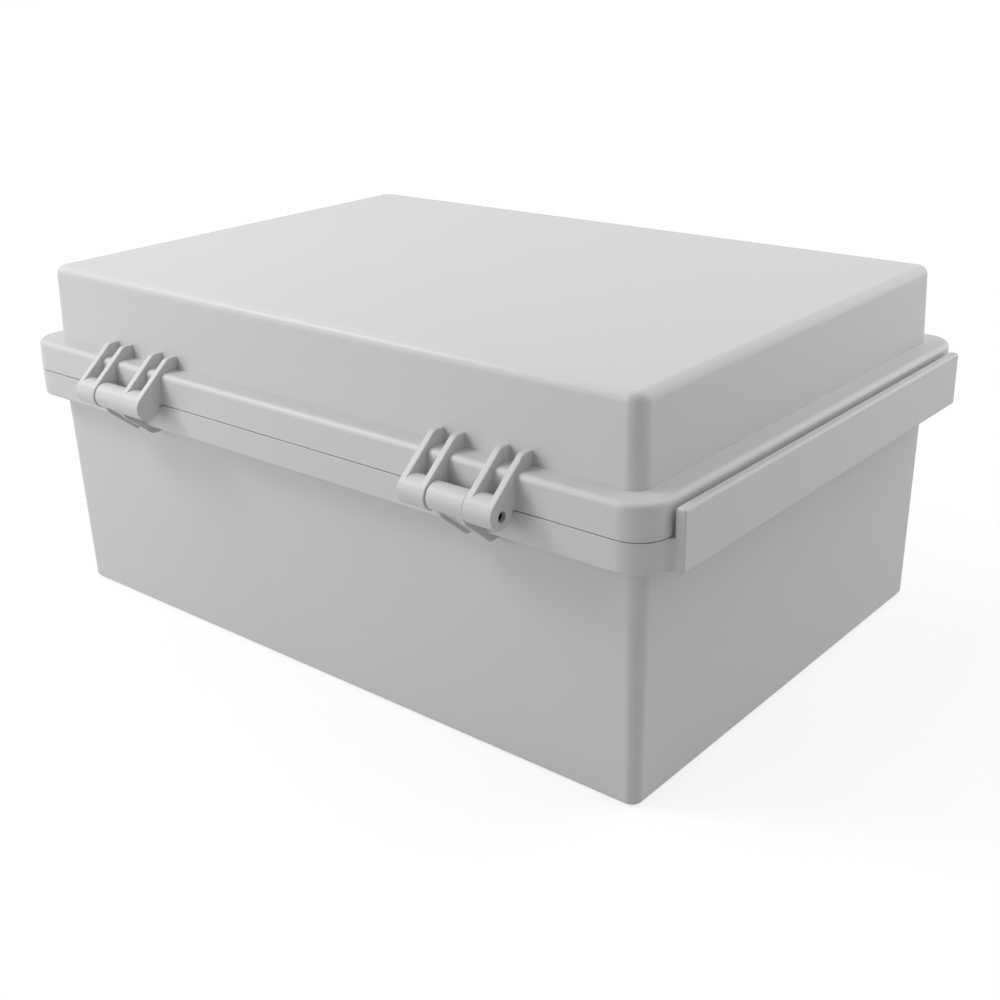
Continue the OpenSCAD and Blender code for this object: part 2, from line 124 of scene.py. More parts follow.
def ring(length, width, corner, profile, steps=16, hold=0.3 * MM):
    """Profile of [outward, height] swept round a rectangle with round corners: at an angle a round a
    corner, the point is the corner's centre + (corner + outward) * (cos a, sin a). Columns just past
    each corner keep the straights flat."""
    quarter = np.concatenate([[0], np.linspace(0, np.pi / 2, steps + 1), [np.pi / 2]])
    past = np.zeros(steps + 3)
    past[0], past[-1] = -hold, hold
    turn = (quarter[None] + np.arange(4)[:, None] * np.pi / 2).ravel()
    out = np.stack([np.cos(turn), np.sin(turn)], 1)
    along = np.stack([-out[:, 1], out[:, 0]], 1) * np.tile(past, 4)[:, None]
    signs = np.array([[1, 1], [-1, 1], [-1, -1], [1, -1]]).repeat(steps + 3, 0)
    centre = signs * [length / 2 - corner, width / 2 - corner]
    reach = np.maximum(corner + profile[:, 0], 0.02 * MM)
    flat = (centre + along)[:, None] + reach[None, :, None] * out[:, None]
    height = np.broadcast_to(profile[None, :, 1:], (len(turn), len(profile), 1))
    return np.concatenate([flat, height], 2)


def skin(grid, wrap=True, caps=False):
    """Surface over a grid of points, whose columns always close on themselves: each face joins four
    neighbours. The rows close on themselves too, or caps shuts the first and last row with one flat
    face each."""
    faces = quads(grid.shape[0], grid.shape[1], wrap)
    if caps:
        index = np.arange(grid.shape[0] * grid.shape[1]).reshape(grid.shape[:2])
        faces += [index[::-1, 0].tolist(), index[:, -1].tolist()]
    return outward(grid.reshape(-1, 3), faces)


def quads(columns, rows, wrap, start=0):
    """Faces of a grid: the one at (i, j) joins (i, j), (i + 1, j), (i + 1, j + 1) and (i, j + 1)."""
    index = start + np.arange(columns * rows).reshape(columns, rows)
    a = index if wrap else index[:, :-1]
    b = np.roll(index, -1, 1) if wrap else index[:, 1:]
    return np.stack([a, np.roll(a, -1, 0), np.roll(b, -1, 0), b], -1).reshape(-1, 4).tolist()


def outward(points, faces):
    """Turns every face of a closed surface round if the surface is inside out, by the sign of its
    volume: the sum over its triangles of a . (b x c) / 6."""
    fans = np.array([[f[0], f[i], f[i + 1]] for f in faces for i in range(1, len(f) - 1)])
    a, b, c = points[fans[:, 0]], points[fans[:, 1]], points[fans[:, 2]]
    if (a * np.cross(b, c)).sum() < 0:
        faces = [f[::-1] for f in faces]
    return points, faces


def filled(points, loops, upwards):
    """Flat face with holes, as triangles: the first loop of point numbers is its edge, the others are
    the holes. It faces along the given direction."""
    index = np.array([i for loop in loops for i in loop])
    triangles = index[np.array(tessellate_polygon([[Vector(points[i]) for i in loop] for loop in loops]))]
    a, b, c = (points[triangles[:, i]] for i in range(3))
    wrong = (np.cross(b - a, c - a) * upwards).sum(1) < 0
    triangles[wrong] = triangles[wrong][:, ::-1]
    return triangles.tolist()


def prism(outline, low, high, edges=(0.5 * MM, 0.5 * MM), axes=(1, 2, 0), holes=(), steps=4,
          hold=0.1 * MM):
    """Outline carried straight from low to high, with both ends' edges rounded: at an angle a from the
    end, the outline shrinks by edge * (1 - sin a) and lies edge * (1 - cos a) inside the end. A hole's
    outline grows by as much. axes says which of X, Y and Z the outline's two numbers and the travel are."""
    a = np.linspace(0, np.pi / 2, steps + 1)
    shrink = np.concatenate([[edges[0] + hold], edges[0] * (1 - np.sin(a)), [0, 0],
                             edges[1] * (1 - np.sin(a[::-1])), [edges[1] + hold]])
    travel = np.concatenate([[low], low + edges[0] * (1 - np.cos(a)),
                             [low + edges[0] + hold, high - edges[1] - hold],
                             high - edges[1] * (1 - np.cos(a[::-1])), [high]])
    grids, faces, bottoms, tops, start = [], [], [], [], 0
    for number, loop in enumerate((outline, *holes)):
        step = np.roll(loop, -1, 0) - loop
        turn = (loop[:, 0] * np.roll(loop[:, 1], -1) - loop[:, 1] * np.roll(loop[:, 0], -1)).sum()
        edge_normal = np.stack([step[:, 1], -step[:, 0]], 1) * np.sign(turn) * (1 if number == 0 else -1)
        edge_normal /= np.linalg.norm(edge_normal, axis=1)[:, None]
        before = np.roll(edge_normal, 1, 0)
        normal = (before + edge_normal) / (1 + (before * edge_normal).sum(1))[:, None]
        flat = loop[:, None] - normal[:, None] * shrink[None, :, None]
        grid = np.empty((len(loop), len(travel), 3))
        grid[:, :, axes[0]], grid[:, :, axes[1]] = flat[:, :, 0], flat[:, :, 1]
        grid[:, :, axes[2]] = travel[None]
        longest = np.linalg.norm(step, axis=1).argmax()
        middle = len(travel) // 2 - 1
        corner, above = grid[longest, middle], grid[longest, middle + 1]
        following = grid[(longest + 1) % len(loop), middle]
        looks = np.cross(following - corner, above - corner)
        side = edge_normal[longest] @ [looks[axes[0]], looks[axes[1]]]
        made = quads(len(loop), len(travel), False, start)
        faces += made if side > 0 else [f[::-1] for f in made]
        index = start + np.arange(len(loop) * len(travel)).reshape(len(loop), len(travel))
        bottoms.append(index[:, 0].tolist())
        tops.append(index[:, -1].tolist())
        grids.append(grid.reshape(-1, 3))
        start += len(loop) * len(travel)
    points = np.concatenate(grids)
    away = np.zeros(3)
    away[axes[2]] = 1
    faces += filled(points, bottoms, -away) + filled(points, tops, away)
    return points, faces


def circle(centre, radius, steps=48, start=0.0, stop=360.0):
    """Points centre + radius * (cos a, sin a): a whole circle, or from one angle to another in degrees."""
    whole = stop - start == 360.0
    a = np.radians(np.linspace(start, stop, steps, endpoint=not whole))
    return np.asarray(centre) + radius * np.stack([np.cos(a), np.sin(a)], 1)


def turned(profile, centre, axis=0, steps=48, bored=True):
    """Profile of [along the axis, radius] turned round an axis: at an angle a, the point is
    centre + radius * (cos a, sin a) beside the axis. A bored profile closes on itself, and any
    other is capped."""
    a = np.arange(steps) * 2 * np.pi / steps
    grid = np.empty((steps, len(profile), 3))
    grid[:, :, axis] = centre[axis] + profile[None, :, 0]
    grid[:, :, (axis + 1) % 3] = centre[(axis + 1) % 3] + np.cos(a)[:, None] * profile[None, :, 1]
    grid[:, :, (axis + 2) % 3] = centre[(axis + 2) % 3] + np.sin(a)[:, None] * profile[None, :, 1]
    return skin(grid, wrap=bored, caps=not bored)


def piece(name, parts, material, body, nodes):
    """One object from several closed surfaces, that rides on a body and stands for CAD nodes. The faces
    of four corners are shaded smooth, and the flat ends, which have three or many corners, are not."""
    points = np.concatenate([p for p, _ in parts])
    starts = np.cumsum([0] + [len(p) for p, _ in parts[:-1]])
    faces = [[i + start for i in f] for (_, fs), start in zip(parts, starts) for f in fs]
    mesh = bpy.data.meshes.new(name)
    mesh.from_pydata(points.tolist(), [], faces)
    mesh.polygons.foreach_set("use_smooth", [len(f) == 4 for f in faces])
    mesh.materials.append(material)
    made = bpy.data.objects.new(name, mesh)
    bpy.context.scene.collection.objects.link(made)
    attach(made, body)
    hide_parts(*nodes)


class Socket:
    """One output socket of a material's nodes. Sums and products of sockets and numbers add Math nodes."""

    def __init__(self, tree, output):
        self.tree, self.output = tree, output

    def node(self, kind, inputs=(), out=0, **settings):
        """Adds a node: its settings are set first, then the values or links of its sockets."""
        made = self.tree.nodes.new(kind)
        for name, value in settings.items():
            setattr(made, name, value)
        for name, value in dict(inputs).items():
            if isinstance(value, Socket):
                self.tree.links.new(value.output, made.inputs[name])
            else:
                made.inputs[name].default_value = value
        return Socket(self.tree, made.outputs[out])

    def maths(self, operation, *values):
        """Math node on sockets and numbers."""
        return self.node("ShaderNodeMath", dict(enumerate(values)), operation=operation)

    def __add__(self, other):
        return self.maths("ADD", self, other)

    def __radd__(self, other):
        return self.maths("ADD", other, self)

    def __mul__(self, other):
        return self.maths("MULTIPLY", self, other)

    def __rmul__(self, other):
        return self.maths("MULTIPLY", other, self)

    def noise(self, scale, detail=2.0, roughness=0.5):
        """Soft cloudy pattern from 0 to 1. The scale counts its lumps in a metre."""
        return self.node("ShaderNodeTexNoise", {"Vector": self, "Scale": scale, "Detail": detail,
                                                "Roughness": roughness})

    def mix(self, low, high):
        """Colour that goes from low to high as this value goes from 0 to 1."""
        return self.node("ShaderNodeMix", {0: self, 6: (*low, 1.0), 7: (*high, 1.0)},
                         out=2, data_type="RGBA")

    def bump(self, distance, strength=1.0):
        """Normal pushed up and down by this height pattern, distance metres from 0 to 1."""
        return self.node("ShaderNodeBump", {"Height": self, "Distance": distance, "Strength": strength})


def finish_of(name, **fixed):
    """A material with one Principled shader. Returns it, the object's coordinates and a function
    that sets its sockets."""
    made = bpy.data.materials.new(name)
    made.use_nodes = True
    tree = made.node_tree
    shader = next(n for n in tree.nodes if n.type == "BSDF_PRINCIPLED")
    place = Socket(tree, None).node("ShaderNodeTexCoord", out=3)

    def feed(**sockets):
        for key, value in sockets.items():
            socket = shader.inputs[key.replace("_", " ")]
            if isinstance(value, Socket):
                tree.links.new(value.output, socket)
            else:
                socket.default_value = value
    feed(**fixed)
    return made, place, feed


plastic, place, feed = finish_of("moulded_polycarbonate", IOR=1.585)
grain = place.noise(2600, 2.0, 0.6)
cloud = place.noise(9, 2.0)
feed(Base_Color=cloud.mix((0.645, 0.652, 0.640), (0.665, 0.672, 0.660)),
     Roughness=grain * 0.10 + 0.36,
     Normal=grain.bump(0.00004, 0.35))

foot = -rim_z * base_draft
top_out = (seam_z - rim_z) * base_draft
tub = rounded([[-base_r + 0.3 * MM, 0], [foot, 0], [top_out, seam_z], [top_out - wall, seam_z],
               [foot - wall, floor_t], [-base_r + 0.3 * MM, floor_t]],
              np.array([0, 2.5, 0.3, 0.3, 1, 0]) * MM, closed=False)
tub_grid = ring(base_l, base_w, base_r, tub)

# Four brass inserts are moulded in flush with the back: each sits in a round pocket 8 mm deep.
boss_x, boss_y, boss_h = 140 * MM, 88 * MM, 22 * MM
insert_r, insert_l = 4 * MM, 8 * MM
pocket = rounded([[0, insert_r + 0.5 * MM], [0, insert_r], [insert_l, insert_r], [insert_l, 0.1 * MM]],
                 np.array([0, 0.15, 0.1, 0]) * MM, steps=3, closed=False)
boss_places = [(x, y) for x in (-boss_x, boss_x) for y in (-boss_y, boss_y)]


def tub_with_pockets(grid, pocket, places):
    """The tub's surface and the pockets' as one: the back face is filled between the tub's first row
    and theirs."""
    points, faces = skin(grid, wrap=False)
    columns, rows = grid.shape[:2]
    loops, closing = [np.arange(columns) * rows], []
    for x, y in places:
        around, _ = turned(pocket, (x, y, 0), axis=2)
        steps = len(around) // len(pocket)
        loops.append(len(points) + np.arange(steps) * len(pocket))
        faces += [f[::-1] for f in quads(steps, len(pocket), False, len(points))]
        closing.append((len(points) + np.arange(steps) * len(pocket) + len(pocket) - 1).tolist())
        points = np.concatenate([points, around])
    faces += filled(points, loops, np.array([0, 0, -1.0]))
    for loop in closing:
        faces += filled(points, [loop], np.array([0, 0, -1.0]))
    faces += filled(points, [np.arange(columns) * rows + rows - 1], np.array([0, 0, 1.0]))
    return points, faces


skirt_t, flange_t, rim_depth = 3 * MM, 3 * MM, 10.2 * MM
tongue_t, tongue_h, tongue_in = 2.2 * MM, 7.2 * MM, 7.4 * MM
rim_lean = 0.5 * MM
rim = rounded([[-skirt_t, rim_z], [rim_lean, rim_z], [rim_lean, seam_z],
               [tongue_t - tongue_in, seam_z], [tongue_t - tongue_in, seam_z + tongue_h],
               [-tongue_in, seam_z + tongue_h], [-tongue_in, seam_z], [-rim_depth, seam_z],
               [-rim_depth, seam_z - flange_t], [-skirt_t, seam_z - flange_t]],
              np.array([0.4, 1.3, 0.25, 0.3, 0.6, 0.6, 0.3, 0.3, 0.3, 0.4]) * MM, steps=5)
piece("base_shell",
      [tub_with_pockets(tub_grid, pocket, boss_places), skin(ring(rim_l, rim_w, rim_r, rim))],
      plastic, "base", ["base"])

# ---- Corner bosses ----
# Round pillars on the base's floor, moulded with it, with brass inserts in their tops that take
# the mounting panel's screws.
boss_foot_r, boss_top_r, boss_foot_z = 8.5 * MM, 7.5 * MM, 3 * MM
core_r, core_z, near_axis = insert_r + 0.3 * MM, insert_l + 0.2 * MM, 0.1 * MM
boss = rounded([[core_z, near_axis], [core_z, core_r], [boss_foot_z, core_r], [boss_foot_z, boss_foot_r],
                [boss_h, boss_top_r], [boss_h, insert_r], [boss_h - insert_l, insert_r],
                [boss_h - insert_l, near_axis]],
               np.array([0, 0.1, 0.1, 0.1, 0.5, 0.2, 0.1, 0]) * MM, steps=4, closed=False)
piece("corner_bosses", [turned(boss, (x, y, 0), axis=2, bored=False) for x, y in boss_places],
      plastic, "base", ["base"])

# ---- Rim webs ----
# Thin stiffening webs in the channel under the base's rim, seven along each long side and four
# along each short one.
web_t, web_depth, web_low, web_high = 2 * MM, 8.75 * MM, rim_z + 1 * MM, seam_z - 2 * MM


def web(middle, foot, sign, along):
    """One web: its outline across the rim is a rectangle with soft corners, and it is web_t thick
    along the rim."""
    edge = foot + sign * web_depth
    outline = rounded([[foot, web_low], [edge, web_low], [edge, web_high], [foot, web_high]],
                      0.5 * MM, steps=3)
    return prism(outline, middle - web_t / 2, middle + web_t / 2, (0.3 * MM, 0.3 * MM),
                 axes=(1, 2, 0) if along == 0 else (0, 2, 1), steps=3)


long_gap, short_gap = base_l / 7.5, base_w / 4.5
webs = [web(i * long_gap, sign * (base_w / 2 - wall / 2), sign, 0)
        for i in range(-3, 4) for sign in (-1, 1)]
webs += [web((i - 1.5) * short_gap, sign * (base_l / 2 - wall / 2), sign, 1)
         for i in range(4) for sign in (-1, 1)]
piece("rim_webs", webs, plastic, "base", ["base"])

# ---- Drip shield ----
# An upright strip moulded on the base's rim at one end. It stands a little off the lid's rim and
# blends into the base's rim at both ends with a hollow curve.
shield_in, shield_out, shield_top = 177.7 * MM, 181.9 * MM, 122.2 * MM
shield_half, blend_r, blend_past, flush = 110.2 * MM, 3 * MM, 1.5 * MM, 0.02 * MM
end_inside = rim_l / 2 - 1 * MM
strip = rounded([[end_inside, rim_z + flush], [shield_out, rim_z], [shield_out, shield_top],
                 [shield_in, shield_top], [shield_in, seam_z - flush], [end_inside, seam_z - flush]],
                np.array([1.1, 1.1, 1.2, 1.2, 0.4, 1.1]) * MM, steps=5)
shield_parts = [prism(strip, -shield_half, shield_half, (0.9 * MM, 0.9 * MM), axes=(0, 2, 1), steps=5)]
reach_in = rim_r + rim_lean - 0.03 * MM
blend_x = rim_l / 2 - rim_r + math.sqrt((reach_in + blend_r) ** 2 - blend_r ** 2)
meets = math.degrees(math.asin(blend_r / (reach_in + blend_r)))
hollow = circle((blend_x, shield_half + blend_r), blend_r, 12, 180 + meets, 270)
for sign in (-1, 1):
    corner = np.concatenate([[[end_inside, hollow[0, 1]]], hollow, [hollow[-1] + [blend_past, -flush]],
                             [[blend_x + blend_past, shield_half - 1 * MM],
                              [end_inside, shield_half - 1 * MM]]])
    shield_parts.append(prism(corner * [1, sign], rim_z + flush, seam_z - flush, (0.35 * MM, 0.35 * MM),
                              axes=(0, 1, 2), steps=3))
piece("drip_shield", shield_parts, plastic, "base", ["base"])

# ---- Base hinge knuckles ----
# The middle knuckle of each hinge is moulded on the base's rim, on a short bracket, with two thin
# fins that run down to the wall.
hinge_x, hinge_l = 98.5 * MM, 44.6 * MM
hinge_y, hinge_z = -130.6 * MM, 111 * MM
knuckle_y, knuckle_z = -131 * MM, 112 * MM
base_knuckle_r, base_knuckle_l = 5.5 * MM, 17.4 * MM
rim_inside = -rim_w / 2 + 1 * MM
base_wall = -base_w / 2 + 1 * MM

hub_r, hub_half = 4.9 * MM, base_knuckle_l / 2 + 0.22 * MM
barrel = rounded([[-hub_half, 0.1 * MM], [-hub_half, hub_r], [-base_knuckle_l / 2, hub_r],
                  [-base_knuckle_l / 2, base_knuckle_r], [base_knuckle_l / 2, base_knuckle_r],
                  [base_knuckle_l / 2, hub_r], [hub_half, hub_r], [hub_half, 0.1 * MM]],
                 np.array([0, 0.05, 0.05, 0.35, 0.35, 0.05, 0.05, 0]) * MM, hold=0.05 * MM, closed=False)
under_z = knuckle_z - base_knuckle_r
bracket = rounded([[hinge_y, hinge_z], [knuckle_y, under_z + 0.03 * MM], [rim_inside, under_z - 1 * MM],
                   [rim_inside, hinge_z - 0.6 * MM]], 0.45 * MM, steps=2)
fin_slope, fin_bend = math.radians(40), math.radians(20)
fin_pitch, fin_top = 11.5 * MM, 108 * MM


def fin_outline(out, low):
    """A fin's edge leaves the knuckle's circle at 60 degrees, bends to 40 degrees where it is out
    beyond that circle, and ends at the height low."""
    steep = fin_slope + fin_bend
    start = np.array([knuckle_y - base_knuckle_r * math.sin(steep),
                      knuckle_z - base_knuckle_r * math.cos(steep)])
    run = (base_knuckle_r * (1 - math.cos(fin_bend)) + out) / math.sin(fin_bend)
    bend = start + run * np.array([math.cos(steep), -math.sin(steep)])
    tip = [bend[0] + (bend[1] - low) / math.tan(fin_slope), low]
    return rounded([[knuckle_y, knuckle_z], start + [0.03 * MM, 0.02 * MM], bend, tip, [base_wall, low],
                    [base_wall, fin_top], [hinge_y, fin_top]],
                   np.array([0.22] * 7 if out < 0 else [0.7, 0.7, 1.7, 0.8, 0.7, 0.7, 0.7]) * MM, steps=4)


fin, fin_fill = fin_outline(1.4 * MM, 94 * MM), fin_outline(-0.1 * MM, 95.5 * MM)
for side, x in (("left", -hinge_x), ("right", hinge_x)):
    low = x - base_knuckle_l / 2 + 0.8 * MM
    high = x + base_knuckle_l / 2 - 0.8 * MM
    piece("base_hinge_" + side,
          [turned(barrel, (x, knuckle_y, knuckle_z), bored=False, steps=96),
           prism(bracket, low, high, (0.3 * MM, 0.3 * MM)),
           prism(fin, high - fin_pitch - web_t, high - fin_pitch, (0.5 * MM, 0.5 * MM)),
           prism(fin, high - web_t, high, (0.5 * MM, 0.5 * MM)),
           prism(fin_fill, high - fin_pitch - web_t / 2, high - web_t / 2, (0.1 * MM, 0.1 * MM))],
          plastic, "base", ["base"])

# ---- Latch ears ----
# Two round-nosed ears of the same polycarbonate are moulded on the base's rim for each latch. The
# latch's steel pin is held in a hole through both.
latch_x, latch_w = 92 * MM, 30 * MM
pivot_y, pivot_z = 128.9 * MM, 103.6 * MM
barrel_r, ear_t, ear_gap = 4.6 * MM, 5 * MM, 30.8 * MM
back_inside = rim_w / 2 - 1 * MM
pin_r = 2 * MM
ear_top = 110.4 * MM
ear = np.concatenate([rounded([[pivot_y, pivot_z + barrel_r], [back_inside, ear_top], [back_inside, rim_z],
                               [pivot_y, pivot_z - barrel_r]], np.array([0, 0.6, 0.6, 0]) * MM,
                              steps=2, closed=False),
                      circle((pivot_y, pivot_z), barrel_r, 32, -90, 90)[1:-1]])
pin_hole = circle((pivot_y, pivot_z), pin_r, 32)
for side, x in (("left", -latch_x), ("right", latch_x)):
    piece("latch_ears_" + side,
          [prism(ear, start, start + ear_t, holes=[pin_hole], edges=(0.4 * MM, 0.4 * MM))
           for start in (x - ear_gap / 2 - ear_t, x + ear_gap / 2)],
          plastic, "base", ["base"])

# ---- Padlock lugs ----
# A flat round-ended lug on each rim, one above the other, with an 8 mm hole through both for a
# padlock or a seal.
lug_r, lug_t, lug_reach, lug_hole_r = 10.97 * MM, 5 * MM, 10 * MM, 4 * MM
lug_y, lid_seam_z = rim_w / 2 + lug_reach, 111.3 * MM
lug = np.concatenate([rounded([[-lug_r, lug_y], [-lug_r, back_inside], [lug_r, back_inside],
                               [lug_r, lug_y]], np.array([0, 0.8, 0.8, 0]) * MM, steps=4, closed=False),
                      circle((0, lug_y), lug_r, 48, 0, 180)[1:-1]])
lug_hole = circle((0, lug_y), lug_hole_r, 48)
for name, body, low in (("base_padlock_lug", "base", seam_z - lug_t - flush),
                        ("lid_padlock_lug", "lid", lid_seam_z + flush)):
    piece(name,
          [prism(lug, low, low + lug_t, (0.6 * MM, 0.6 * MM), axes=(0, 1, 2), holes=[lug_hole])],
          plastic, body, [body])

# ---- Lid ----
# The shallow half, moulded in one in the same polycarbonate: a drafted dome with a flat top,
# whose rim closes on the base's rim and holds the gasket in a groove.
lid_l, lid_w, lid_r = 332.8 * MM, 227.2 * MM, 7.2 * MM
lid_rim_z, total_h, lid_rim_depth = 125 * MM, 159 * MM, 11.3 * MM
lid_draft = -math.tan(math.radians(2.2))
crown = (total_h - lid_rim_z) * lid_draft
under = (total_h - floor_t - lid_rim_z) * lid_draft - wall
dome = rounded([[-lid_r + 0.3 * MM, total_h], [crown, total_h], [0, lid_rim_z], [0, lid_seam_z],
                [-wall, lid_seam_z], [-wall, lid_rim_z], [under, total_h - floor_t],
                [-lid_r + 0.3 * MM, total_h - floor_t]],
               np.array([0, 4.0, 0.3, 0.3, 0.3, 0.3, 1.0, 0]) * MM, steps=8, closed=False)
lid_rim = rounded([[-skirt_t, lid_seam_z], [rim_lean, lid_seam_z], [0, lid_rim_z],
                   [-lid_rim_depth, lid_rim_z], [-lid_rim_depth, lid_rim_z - flange_t],
                   [-skirt_t, lid_rim_z - flange_t]],
                  np.array([0.4, 0.35, 2.5, 0.3, 0.3, 0.4]) * MM, steps=8)
piece("lid_shell", [skin(ring(lid_l, lid_w, lid_r, dome), wrap=False, caps=True),
                    skin(ring(rim_l, rim_w, rim_r, lid_rim))],
      plastic, "lid", ["lid"])

# ---- Lid hinge knuckles ----
# Two knuckles a hinge are moulded on the lid. Each is a short barrel between two drop-shaped
# plates, whose sloping arms run over the rim and up the lid's wall.
knuckle_r, plate_t, knuckle_l = 6 * MM, 3 * MM, 13.3 * MM
arm_slope = math.radians(40)
arm_top = lid_rim_z + 5.6 * MM
lid_wall_inside = -lid_w / 2 + wall / 2
bore_r = 2.06 * MM
touch = np.array([knuckle_y - knuckle_r * math.sin(arm_slope),
                  knuckle_z + knuckle_r * math.cos(arm_slope)])
shoulder = [touch[0] + (arm_top - touch[1]) / math.tan(arm_slope), arm_top]
seam_angle = math.degrees(math.asin((lid_seam_z - knuckle_z) / knuckle_r))
arm_inside_z = lid_rim_z - 1.5 * MM
arm = np.concatenate([rounded([[rim_inside, lid_seam_z + flush], [rim_inside, arm_inside_z],
                               [lid_wall_inside, arm_inside_z], [lid_wall_inside, arm_top],
                               shoulder, touch],
                              np.array([0, 0.1, 0.7, 0.7, 4.0, 0]) * MM, steps=8, closed=False),
                      circle((knuckle_y, knuckle_z), knuckle_r, 60, 130, 360 + seam_angle)[1:]])
bore = circle((hinge_y, hinge_z), bore_r, 32)
barrel_half = knuckle_l / 2 - plate_t + 1 * MM
lid_barrel = rounded([[-barrel_half, 0.1 * MM], [-barrel_half, knuckle_r - 0.01 * MM],
                      [barrel_half, knuckle_r - 0.01 * MM], [barrel_half, 0.1 * MM]],
                     np.array([0, 0.1, 0.1, 0]) * MM, steps=3, closed=False)
for side, x, outer in (("left", -hinge_x, -1), ("right", hinge_x, 1)):
    parts = []
    for end in (-1, 1):
        middle = x + end * (hinge_l - knuckle_l) / 2
        for plate in (-1, 1):
            start = middle + plate * (knuckle_l - plate_t) / 2 - plate_t / 2
            open_end = end == outer and plate == outer
            parts.append(prism(arm, start, start + plate_t, (0.45 * MM, 0.45 * MM),
                               holes=[bore] if open_end else []))
        parts.append(turned(lid_barrel, (middle, knuckle_y, knuckle_z), bored=False, steps=96))
    piece("lid_hinge_" + side, parts, plastic, "lid", ["lid"])

# ---- Catches ----
# Ledges of the same polycarbonate that the latches hook over. They are moulded in one with the
# lid's rim, flat on top and sloped underneath.
catch_z, catch_out, catch_h = lid_rim_z - 3.5 * MM, 4.5 * MM, 7 * MM
back_face = rim_w / 2
catch_foot = catch_z - catch_h
catch = rounded([[back_inside, catch_foot - catch_out / 2], [back_face, catch_foot - catch_out / 2],
                 [back_face + catch_out, catch_foot + catch_out / 2], [back_face + catch_out, catch_z],
                 [back_inside, catch_z]], np.array([0.3, 0.3, 0.65, 0.65, 0.65]) * MM, steps=4)
for side, x in (("left", -latch_x), ("right", latch_x)):
    piece("catch_" + side, [prism(catch, x - latch_w / 2, x + latch_w / 2)],
          plastic, "lid", ["lid"])

# ---- Latches ----
# One-piece snap latches in the same grey: a barrel on a steel pin, a flat plate with grip ribs,
# a hook at its top and a lip for the finger. They hang open.
swing = math.radians(-172)
latch_t, latch_clear, lip_out = 3.4 * MM, 0.4 * MM, 4 * MM
inner = back_face + catch_out + latch_clear - pivot_y
outer_face = inner + latch_t
hook_under = catch_z + latch_clear - pivot_z
hook_top = hook_under + latch_t
tip = back_face + 1.1 * MM - pivot_y
lip_z, lip_t = hook_top + 1 * MM, 2.2 * MM
plate = rounded([[inner, 0], [inner, hook_under], [tip, hook_under], [tip, hook_top], [outer_face, hook_top],
                 [outer_face + lip_out, lip_z], [outer_face + lip_out, lip_z - lip_t],
                 [outer_face, hook_top - latch_t - lip_t], [outer_face, 0]],
                np.array([0.65, 0.4, 0.65, 1.6, 1.5, 0.65, 0.65, 1.5, 0.65]) * MM, steps=5)
turn = np.array([[math.cos(swing), -math.sin(swing)], [math.sin(swing), math.cos(swing)]])
hanging = plate @ turn.T + [pivot_y, pivot_z]
grip_r, grip_pitch, first_grip, grip_proud, grip_inset = 0.75 * MM, 2 * MM, 4.2 * MM, 0.1 * MM, 4 * MM
grips = [circle((outer_face + grip_proud, first_grip + i * grip_pitch), grip_r, 16) @ turn.T
         + [pivot_y, pivot_z] for i in range(4)]
latch_barrel = rounded([[-latch_w / 2, 0.1 * MM], [-latch_w / 2, barrel_r], [latch_w / 2, barrel_r],
                        [latch_w / 2, 0.1 * MM]], np.array([0, 0.5, 0.5, 0]) * MM, closed=False)
for side, x in (("left", -latch_x), ("right", latch_x)):
    piece("latch_" + side + "_moulding",
          [prism(hanging, x - latch_w / 2 + 0.01 * MM, x + latch_w / 2 - 0.01 * MM),
           turned(latch_barrel, (x, pivot_y, pivot_z), bored=False, steps=64)]
          + [prism(grip, x - latch_w / 2 + grip_inset, x + latch_w / 2 - grip_inset,
                   (0.6 * MM, 0.6 * MM)) for grip in grips],
          plastic, "latch_" + side, ["latch_" + side])

# ---- Pins, screws, inserts, panel and gasket ----
# The bought and cut parts keep the shapes that they have in the frame, and get their finishes here:
# stainless pins and screws, brass inserts, a painted steel panel and a rubber gasket.
steel, place, feed = finish_of("stainless", Base_Color=(0.60, 0.59, 0.57, 1), Metallic=1.0)
feed(Roughness=place.noise(900, 2.0) * 0.15 + 0.22)
brass, place, feed = finish_of("brass", Base_Color=(0.66, 0.50, 0.22, 1), Metallic=1.0)
feed(Roughness=place.noise(700, 2.0) * 0.2 + 0.25)
painted, place, feed = finish_of("painted_panel")
feed(Base_Color=place.noise(30).mix((0.76, 0.76, 0.73), (0.80, 0.80, 0.77)),
     Roughness=place.noise(400) * 0.1 + 0.4,
     Normal=place.noise(900, 2.0).bump(0.00003, 0.4))
rubber, place, feed = finish_of("gasket_rubber", Roughness=0.7)
feed(Base_Color=place.noise(300).mix((0.035, 0.035, 0.037), (0.06, 0.06, 0.062)),
     Normal=place.noise(1800, 3.0).bump(0.0001, 0.5))
for node, material in (("hinge_pin_left", steel), ("hinge_pin_right", steel), ("latch_pin_left", steel),
                       ("latch_pin_right", steel), ("panel_screws", steel), ("panel_inserts", brass),
                       ("wall_inserts", brass), ("mounting_panel", painted), ("lid_gasket", rubber)):
    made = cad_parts[node]
    made.data.materials.clear()
    made.data.materials.append(material)

# ---- Floor and light ----
# A plain white sweep under soft lamps. The floor and the sky are grey where they light the object, so that
# its sides stay darker than its top. Where they are seen, the sky is white and the floor glows with painted
# light: full white beyond 1.8 m from the box's middle, 0.72 within 0.45 m of it, where the box's real shadow
# shows through.

def lamp(name, place, aim, size, power):
    """A square soft box of that size in metres, turned from its place towards its aim."""
    made = bpy.data.objects.new(name, bpy.data.lights.new(name, "AREA"))
    made.data.shape = "SQUARE"
    made.data.size = size
    made.data.energy = power
    made.location = place
    made.rotation_mode = "QUATERNION"
    made.rotation_quaternion = (Vector(aim) - Vector(place)).to_track_quat("-Z", "Y")
    bpy.context.scene.collection.objects.link(made)


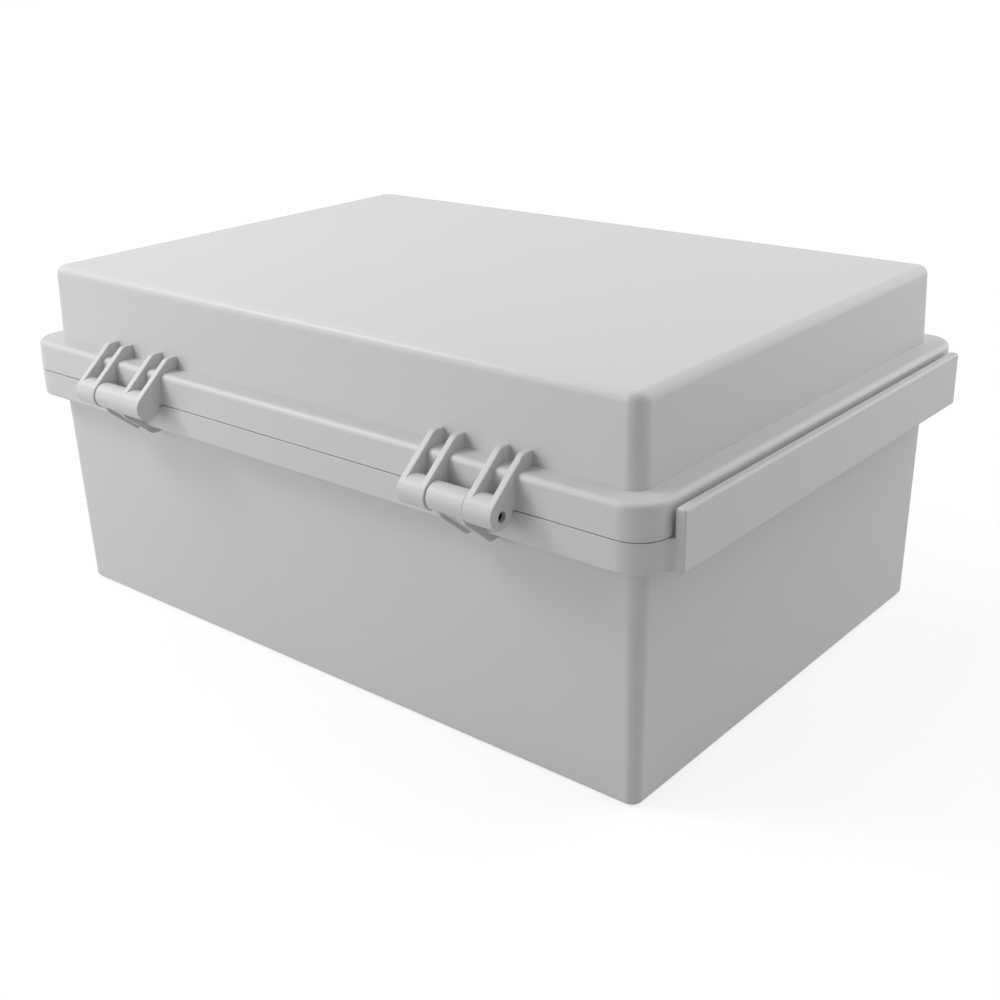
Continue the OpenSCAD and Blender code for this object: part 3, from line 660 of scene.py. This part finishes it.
middle_of_box = (0, 0, 0.08)
lamp("front_left_low", (-0.636, -1.101, 0.35), middle_of_box, 0.9, 5.7)
lamp("key_left", (-0.795, -0.599, 0.916), middle_of_box, 0.35, 4.6)
lamp("overhead_right", (0.45, 0.4, 0.88), middle_of_box, 0.8, 3.0)
lamp("overhead_left", (-0.45, 0, 0.88), middle_of_box, 0.9, 2.5)
lamp("right_low", (1.222, 0, 0.525), middle_of_box, 0.8, 1.4)
lamp("back_right", (0.636, 1.101, 0.35), middle_of_box, 0.9, 2.8)


def seen_directly(tree):
    """1 for rays from the camera, from a glossy surface or through glass, 0 for those that carry
    soft light: the largest of the three."""
    ray = tree.nodes.new("ShaderNodeLightPath")
    camera_ray, glossy_ray, glass_ray = (
        Socket(tree, ray.outputs[kind]) for kind in ("Is Camera Ray", "Is Glossy Ray", "Is Transmission Ray"))
    return camera_ray.maths("MAXIMUM", camera_ray.maths("MAXIMUM", camera_ray, glossy_ray), glass_ray)


world = bpy.data.worlds.new("studio")
bpy.context.scene.world = world
world.use_nodes = True
sky_level = 0.20
backdrop = next(n for n in world.node_tree.nodes if n.type == "BACKGROUND")
backdrop.inputs["Strength"].default_value = 1.0
world.node_tree.links.new(seen_directly(world.node_tree).mix((sky_level,) * 3, (1, 1, 1)).output,
                          backdrop.inputs["Color"])

floor_mesh = bpy.data.meshes.new("floor")
floor_mesh.from_pydata([(-6, -6, 0), (6, -6, 0), (6, 6, 0), (-6, 6, 0)], [], [(0, 1, 2, 3)])
floor = bpy.data.objects.new("floor", floor_mesh)
bpy.context.scene.collection.objects.link(floor)
white, place, feed = finish_of("white_sweep", Roughness=0.9, Emission_Strength=1.0)
seen = seen_directly(white.node_tree)
# Painted light: the floor's glow, as seen, fades from white far off to 0.72 near the box.
distance = place.node("ShaderNodeVectorMath", {0: place}, out=1, operation="LENGTH")
painted_glow_far = distance.node("ShaderNodeMapRange", {"Value": distance, "From Min": 0.45, "From Max": 1.8},
                    interpolation_type="SMOOTHSTEP")
feed(Base_Color=seen.mix((0.5, 0.5, 0.5), (0.35, 0.35, 0.35)),
     Emission_Color=(seen * (painted_glow_far * 0.28 + 0.72)).mix((0, 0, 0), (1, 1, 1)))
floor_mesh.materials.append(white)
floor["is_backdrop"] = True

low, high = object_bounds()
